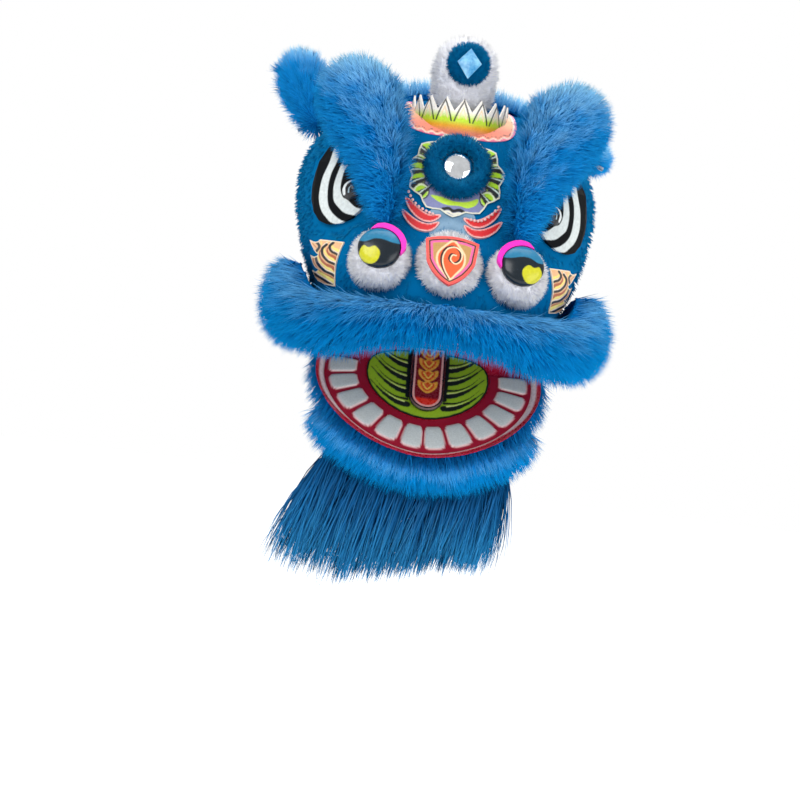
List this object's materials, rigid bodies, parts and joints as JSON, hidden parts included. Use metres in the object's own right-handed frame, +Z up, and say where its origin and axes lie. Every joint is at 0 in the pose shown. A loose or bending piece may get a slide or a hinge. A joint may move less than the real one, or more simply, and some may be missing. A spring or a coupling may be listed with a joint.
{
  "type": "lion dance head",
  "caption": "Hollow southern lion dance head with fur brows, lip roll, horn, mirror and ears; a hinged lower jaw with teeth, tongue and beard opens below, held by an inner bar.",
  "frame": {"origin": "middle of the hand bar across the inside of the head, where the dancer holds it", "axes": "+X to the lion's left, along the hand bar; the face towards -Y; +Z up"},
  "size_m": [0.7082, 0.6551, 1.1056],
  "materials": {
    "blue_fur": "long sheep fleece, matt",
    "blue_plush": "short plush pile over paper",
    "white_plush": "short white plush pile",
    "painted_plaque": "painted cloth, semi gloss",
    "painted_flame": "painted cloth, semi gloss",
    "pink_paint": "lacquer, gloss",
    "red_lacquer": "lacquer over paper, gloss",
    "tooth_enamel": "lacquer over paper, gloss",
    "gloss_black": "black lacquer, high gloss",
    "nostril_paint": "airbrushed lacquer, gloss",
    "mirror_glass": "silvered convex glass",
    "cut_stone": "moulded cut stone, clear gloss",
    "rattan_bar": "plain rattan",
    "steel_rod": "drawn wire"
  },
  "bodies": {
    "head": {"lip_roll": "blue_fur", "crown_trim": "blue_fur", "brow_left": "blue_fur", "brow_right": "blue_fur", "head_shell": "blue_plush", "horn_disc": "blue_plush", "mirror_ring": "blue_plush", "horn": "white_plush", "nose_pad": "white_plush", "nostril_left": "white_plush", "nostril_right": "white_plush", "forehead_plate": "painted_plaque", "horn_collar": "painted_plaque", "nose_crest": "painted_flame", "cheek_flame_left": "painted_flame", "cheek_flame_right": "painted_flame", "nostril_rim_left": "pink_paint", "nostril_rim_right": "pink_paint", "snout_stripe_left": "red_lacquer", "snout_stripe_right": "red_lacquer", "eye_left": "gloss_black", "eye_right": "gloss_black", "pupil_left": "gloss_black", "pupil_right": "gloss_black", "nostril_dome_left": "nostril_paint", "nostril_dome_right": "nostril_paint", "mirror": "mirror_glass", "horn_gem": "cut_stone", "hand_bar": "rattan_bar", "jaw_rod": "steel_rod", "ear_pin_left": "steel_rod", "ear_pin_right": "steel_rod"},
    "jaw": {"lower_jaw": "red_lacquer", "gum_teeth": "tooth_enamel", "mouth_floor": "painted_plaque", "tongue": "red_lacquer", "chin_fur": "blue_fur", "beard": "blue_fur"},
    "ear_left": {"ear_left": "blue_fur"},
    "ear_right": {"ear_right": "blue_fur"}
  },
  "joints": [
    {"name": "jaw_hinge", "type": "hinge", "parent": "head", "child": "jaw", "pos_m": [0, -0.04, -0.045], "axis": [-1, 0, 0], "range_deg": [0, 28]},
    {"name": "ear_left_flap", "type": "hinge", "parent": "head", "child": "ear_left", "pos_m": [0.275, 0.056, 0.316], "axis": [-0.9135, 0, 0.4067], "range_deg": [-76, 0]},
    {"name": "ear_right_flap", "type": "hinge", "parent": "head", "child": "ear_right", "pos_m": [-0.275, 0.056, 0.316], "axis": [-0.9135, 0, -0.4067], "range_deg": [0, 76]}
  ]
}
